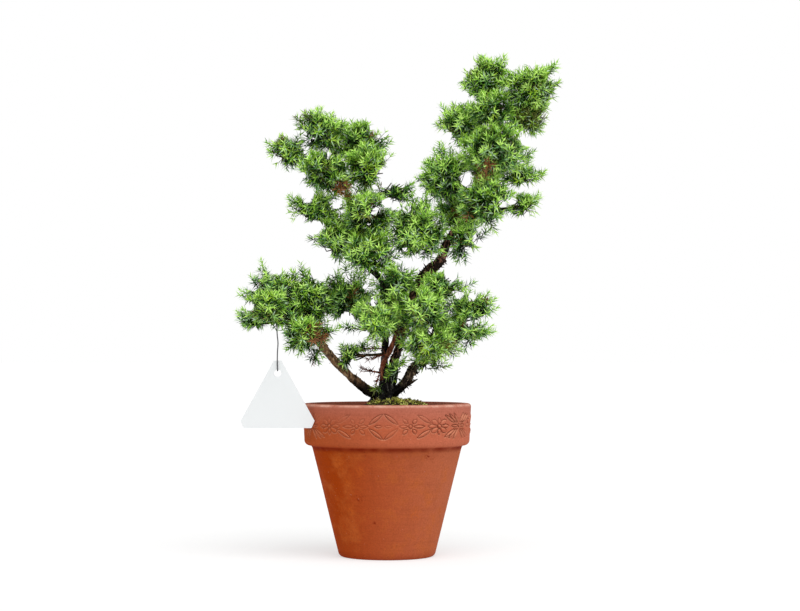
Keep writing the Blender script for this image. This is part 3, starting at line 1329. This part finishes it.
def soilHeight(x, y):
    # level by the wall, and a low mound that carries the trunk
    edge = pot["height"] - soil["edgeDrop"]
    radius = math.hypot(x - soil["moundCentre"][0], y - soil["moundCentre"][1])
    share = min(max((radius - soil["moundRadius"]) / (soil["moundFoot"] - soil["moundRadius"]), 0.0), 1.0)
    top = pot["height"] + soil["groundRise"] - soil["wallGap"]
    return edge + (top - edge) * (0.5 + 0.5 * math.cos(math.pi * share))


def crumbs(wall):
    # loose crumbs on the soil
    rng = random.Random("crumbs")
    ball = bmesh.new()
    bmesh.ops.create_icosphere(ball, subdivisions=1, radius=1.0)
    shape = np.array([vertex.co for vertex in ball.verts])
    faces = [[vertex.index for vertex in face.verts] for face in ball.faces]
    ball.free()
    for _ in range(soil["pebbles"]):
        radius = (wall - 0.0015) * math.sqrt(rng.random())
        angle = rng.uniform(0, fullTurn)
        size = rng.uniform(0.0006, 0.0017)
        bumps = np.array([rng.uniform(0.7, 1.1) for _ in shape])[:, None]
        stretch = np.array([rng.uniform(0.7, 1.25) for _ in range(3)])
        x, y = radius * math.cos(angle), radius * math.sin(angle)
        yield shape * bumps * stretch * size + (x, y, soilHeight(x, y) + size * 0.25), faces


def makeSoil():
    finish = Finish("soil", (0.045, 0.027, 0.017), 0.95, under=(0.016, 0.009, 0.006))
    finish.patches((0.085, 0.052, 0.032), 0.40, 0.66, 300, 5, 0.7)
    finish.patches((0.20, 0.15, 0.10), 0.62, 0.72, 520, 2)
    finish.bump(0.7, 0.0006, 900, 4)
    edge, columns = pot["height"] - soil["edgeDrop"], soil["columns"]
    wall = potInnerRadius(edge) - soil["wallGap"] * 2
    rows = [(wall * i / soil["rings"], None) for i in range(1, soil["rings"] + 1)]
    for height in np.linspace(edge - 0.004, pot["floor"] + 0.0003, 6):
        rows.append((potInnerRadius(height) - soil["wallGap"] * 2, height))
    points = [(0.0, 0.0, soilHeight(0.0, 0.0))]
    for radius, height in rows:
        for angle in np.arange(columns) * fullTurn / columns:
            x, y = radius * math.cos(angle), radius * math.sin(angle)
            z = height
            if height is None:
                lumps = noise.turbulence(Vector((x * 260, y * 260, 3.0)), 4, False) - 0.55
                cells = noise.cell(Vector((x * 620, y * 620, 1.0))) - 0.5
                z = soilHeight(x, y) + min((lumps * 1.2 + cells * 0.35) * soil["grain"], 0.0012)
            points.append((x, y, z))
    index = 1 + np.arange(len(rows) * columns).reshape(-1, columns)
    faces = [(0, 1 + i, 1 + (i + 1) % columns) for i in range(columns)]
    faces += ringQuads(index).tolist() + [index[-1][::-1].tolist()]
    points, faces = joinMeshes([(np.array(points), faces), *crumbs(wall)])
    addPiece("soilTop", newMesh(points, faces, [finish]), "soil", "soil", sharpFrom=50)
    print("soil:", len(faces), "faces")


moss = {
    "centre": (0.0240, -0.010),
    "radii": (0.0470, 0.027),
    "thickness": 0.0050,
    "thinnest": 0.0003,
    "rings": 46,
    "columns": 150,
    "shoots": 3600,
    "shootLength": (0.0013, 0.0034),
    "shootHalf": (0.00040, 0.00085),
    "longShare": 0.008,
    # the colours low down, higher up and where it is dry
    "colours": {
        "moss": ((0.13, 0.15, 0.015), (0.30, 0.30, 0.035), (0.20, 0.13, 0.03)),
        "moss_tip": ((0.60, 0.60, 0.08), (0.95, 0.92, 0.30), (0.70, 0.52, 0.16)),
        "moss_dry": ((0.10, 0.045, 0.02), (0.22, 0.11, 0.05), (0.48, 0.30, 0.13)),
        "moss_under": ((0.020, 0.018, 0.006), (0.07, 0.065, 0.012), (0.07, 0.03, 0.012)),
    },
}


def mossFinish(name):
    low, high, dry = moss["colours"][name]
    finish = Finish(name, high, 0.95, 0.15, low)
    finish.patches(high, 0.42, 0.62, 130, 5, 0.7)
    finish.patches(dry, 0.60, 0.70, 210, 4)
    finish.bump(0.7, 0.0006, 1100, 4)
    return finish


def mossTop(x, y):
    # the moss's height above the ground at a place, and 0 outside it
    across = (x - moss["centre"][0]) / moss["radii"][0]
    along = (y - moss["centre"][1]) / moss["radii"][1]
    edge = 1 + 0.16 * noise.noise(Vector((x * 90, y * 90, 5.0)))
    dome = max(1 - (across**2 + along**2) / edge**2, 0.0)
    lumps = noise.turbulence(Vector((x * 150, y * 150, 9.0)), 3, False)
    slope = min(max((x - 0.008) / 0.022, 0.0), 1.0)
    return moss["thickness"] * (1 - 0.50 * slope) * dome**0.5 * (0.38 + 0.94 * lumps)


def mossPlace(share, angle):
    x = moss["centre"][0] + moss["radii"][0] * share * math.cos(angle)
    return x, moss["centre"][1] + moss["radii"][1] * share * math.sin(angle)


def makeMoss():
    rings, columns = moss["rings"], moss["columns"]
    points = []
    for ring in range(rings + 1):
        for angle in np.arange(columns) * fullTurn / columns:
            x, y = mossPlace(ring / rings * 1.12, angle)
            points.append((x, y, soilHeight(x, y) - 0.0006 + mossTop(x, y)))
    faces = ringQuads(np.arange(len(points)).reshape(-1, columns)).tolist()
    finishOf = [3] * len(faces)
    # fine upright shoots
    rng = np.random.default_rng(20)
    shoots = 0
    while shoots < moss["shoots"]:
        x, y = mossPlace(math.sqrt(rng.random()), rng.uniform(0, fullTurn))
        rise = mossTop(x, y)
        if rise < moss["thinnest"]:
            continue
        foot = np.array((x, y, soilHeight(x, y) - 0.0008 + rise))
        lean = unit(np.array((rng.normal(0, 0.8), rng.normal(0, 0.8), 1.0)))
        length = rng.uniform(*moss["shootLength"]) * min(1.0, 0.3 + rise * 300)
        half = rng.uniform(*moss["shootHalf"])
        length *= 2.2 if rng.random() < moss["longShare"] else 1.0
        turn = rng.uniform(0, fullTurn)
        start = len(points)
        for a in turn + np.arange(3) * fullTurn / 3:
            points.append(foot + half * np.array((math.cos(a), math.sin(a), 0.0)))
        points.append(foot + lean * length)
        for low, high in ((0, 1), (1, 2), (2, 0)):
            faces.append((start + low, start + high, start + 3))
        dry = noise.noise(Vector((x * 170, y * 170, 3.0))) > 0.22
        finishOf += [2 if dry else int(rng.random() < 0.55)] * 3
        shoots += 1
    mesh = newMesh(np.array(points), faces, [mossFinish(name) for name in moss["colours"]], finishOf)
    addPiece("mossCushion", mesh, "moss", "moss")
    print("moss:", len(faces), "faces")


makeSoil()
makeMoss()


# The tag and its wire

tag = {
    "topHalf": 0.0040,
    "wideHalf": 0.0387,
    "footHalf": 0.0355,
    "slopeHeight": 0.0628,
    "footHeight": 0.0076,
    "thickness": 0.0008,
    "bevel": 0.00012,
    "holeRadius": 0.0037,
    "holeDrop": 0.0130,
    "cornerRound": 0.0011,
    "mass": "low_left_front",
    "hookAlong": 0.82,
}
wire = {
    "radius": 0.0006,
    "tail": 0.0075,
    "drop": 0.0615,
    "slack": 0.0005,
    "drift": 0.0012,
    "kink": 0.0004,
    "clearance": 0.0003,
}


def wireRoute():
    mass = next(mass for mass in everyMass if mass.name == tag["mass"])
    # the stem as the solids have it, with their four stations
    stem = stemRoute(mass, 101)[[0, 30, 65, 100]]
    seat, tangent = pointAlong(stem, tag["hookAlong"])
    side = np.cross(unit(tangent * (1, 1, 0)), up)
    ring = seat[3] + wire["slack"] + wire["radius"]
    points = []
    for angle in np.radians(np.arange(-60, 181, 15)):
        points.append(seat[:3] + ring * (math.cos(angle) * side + math.sin(angle) * up))
    top = points[-1]
    bend = tag["thickness"] / 2 + wire["clearance"] + wire["radius"]
    hole = top + np.array((wire["drift"], bend, -wire["drop"]))
    for share in (0.1, 0.25, 0.4, 0.55, 0.7, 0.84):
        drift = min(2 * share, 1.0) * wire["drift"] + wire["kink"] * math.sin(share * 14)
        points.append(top + np.array((drift, 0.0, -share * wire["drop"])))
    for angle in np.radians(np.arange(180, 361, 15)):
        points.append(hole + bend * np.array((0.0, math.cos(angle), math.sin(angle))))
    points.append(hole + np.array((0.0, bend, wire["tail"])))
    return np.array([(*point, wire["radius"]) for point in points]), hole - tag["holeRadius"] * up


def roundedOutline(corners, radius, steps=7):
    # a closed outline with each corner rounded
    points = []
    for before, corner, after in zip(np.roll(corners, 1, 0), corners, np.roll(corners, -1, 0)):
        before, after = unit(before - corner), unit(after - corner)
        half = math.acos(float(np.clip(np.dot(before, after), -1, 1))) / 2
        back = radius / math.tan(half)
        for t in np.linspace(0, 1, steps):
            points.append(bentLine(corner + before * back, corner, corner + after * back, t))
    return np.array(points)


def tagMesh(hole):
    # a flat outline with an eye in it, thickened and hung by the top of the eye
    top = tag["holeDrop"]
    wide, foot = top - tag["slopeHeight"], top - tag["slopeHeight"] - tag["footHeight"]
    half = [(tag["topHalf"], top), (tag["wideHalf"], wide), (tag["footHalf"], foot)]
    outline = roundedOutline(np.array(half + [(-x, z) for x, z in reversed(half)]), tag["cornerRound"])
    turn = np.arange(48) * fullTurn / 48
    curve = bpy.data.curves.new("tagOutline", "CURVE")
    curve.dimensions = "2D"
    curve.fill_mode = "BOTH"
    curve.extrude = tag["thickness"] / 2 - tag["bevel"]
    curve.bevel_depth = tag["bevel"]
    curve.bevel_resolution = 2
    curve.offset = -tag["bevel"]
    for loop in (outline, tag["holeRadius"] * np.stack((np.cos(turn), np.sin(turn)), axis=1)):
        spline = curve.splines.new("POLY")
        spline.points.add(len(loop) - 1)
        for knot, (x, z) in zip(spline.points, loop):
            knot.co = (x, z, 0.0, 1.0)
        spline.use_cyclic_u = True
    guide = addObject("tagOutline", curve)
    bpy.context.view_layer.update()
    mesh = bpy.data.meshes.new_from_object(guide.evaluated_get(bpy.context.evaluated_depsgraph_get()))
    bpy.data.objects.remove(guide)
    mesh.transform(Matrix.Translation(Vector(hole)) @ Matrix.Rotation(math.pi / 2, 4, "X"))
    mesh.materials.clear()
    mesh.shade_smooth()
    return mesh


def makeTag():
    route, hole = wireRoute()
    metal = Finish("tag_wire", (0.10, 0.10, 0.105), 0.4)
    metal.give("Metallic", 0.85)
    metal.roughen(-0.5, 1.6, 700, 3)
    points, faces, _ = tubeMesh(evenRoute(smoothRoute(route, 4), 0.0006), 14)
    addPiece("tagWire", newMesh(points, faces, [metal]), "tag_wire", "tag_wire", sharpFrom=50)

    plastic = Finish("tag_plastic", (0.875, 0.90, 0.905), 0.3)
    plastic.give("Transmission Weight", 0.12)
    plastic.roughen(-0.3, 1.5, 60, 5, 0.6, (1, 1, 0.5))
    plastic.bump(0.08, 0.0003, 240, 3, 0.5, (1, 1, 0.2))
    mesh = tagMesh(hole)
    mesh.materials.append(plastic.material)
    addPiece("tagPlate", mesh, "tag_plastic", "tag_plate", sharpFrom=40)
    print("tag hangs from", [round(float(v), 4) for v in hole])


makeTag()


# The studio: a pale floor that runs to the horizon, and soft light

def makeStudio():
    finish = Finish("studio_floor", (studio["floorShade"],) * 3, 0.9, 0.0)
    finish.give("Emission Color", (1.0, 1.0, 1.0))
    finish.give("Emission Strength", studio["floorGlow"])
    disc = bmesh.new()
    bmesh.ops.create_circle(disc, cap_ends=True, segments=96, radius=studio["floorRadius"])
    mesh = bpy.data.meshes.new("studioFloor")
    disc.to_mesh(mesh)
    disc.free()
    mesh.materials.append(finish.material)
    addObject("studioFloor", mesh)

    world = bpy.data.worlds.new("studio")
    world.use_nodes = True
    nodes, join = world.node_tree.nodes, world.node_tree.links.new
    # the camera sees it as plain white
    back, white = nodes["Background"], nodes.new("ShaderNodeBackground")
    back.inputs["Strength"].default_value = studio["worldStrength"]
    for shade in (back, white):
        shade.inputs["Color"].default_value = (1.0, 1.0, 1.0, 1.0)
    mix = nodes.new("ShaderNodeMixShader")
    join(nodes.new("ShaderNodeLightPath").outputs["Is Camera Ray"], mix.inputs[0])
    join(back.outputs[0], mix.inputs[1])
    join(white.outputs[0], mix.inputs[2])
    join(mix.outputs[0], nodes["World Output"].inputs["Surface"])
    scene.world = world

    sun = bpy.data.lights.new("key", "SUN")
    sun.energy = studio["sunStrength"]
    sun.angle = studio["sunAngle"]
    lamp = addObject("key", sun)
    lamp.location = Vector(studio["sunFrom"]) * 2
    lamp.rotation_euler = Vector(studio["sunFrom"]).to_track_quat("Z", "Y").to_euler()

    lens = bpy.data.cameras.new("camera")
    lens.lens = studio["lens"]
    lens.sensor_width = 36.0
    camera = addObject("camera", lens)
    camera.location = studio["cameraAt"]
    sight = Vector(studio["aimAt"]) - camera.location
    camera.rotation_euler = sight.to_track_quat("-Z", "Y").to_euler()
    scene.camera = camera
    scene.view_settings.view_transform = "Standard"


makeStudio()
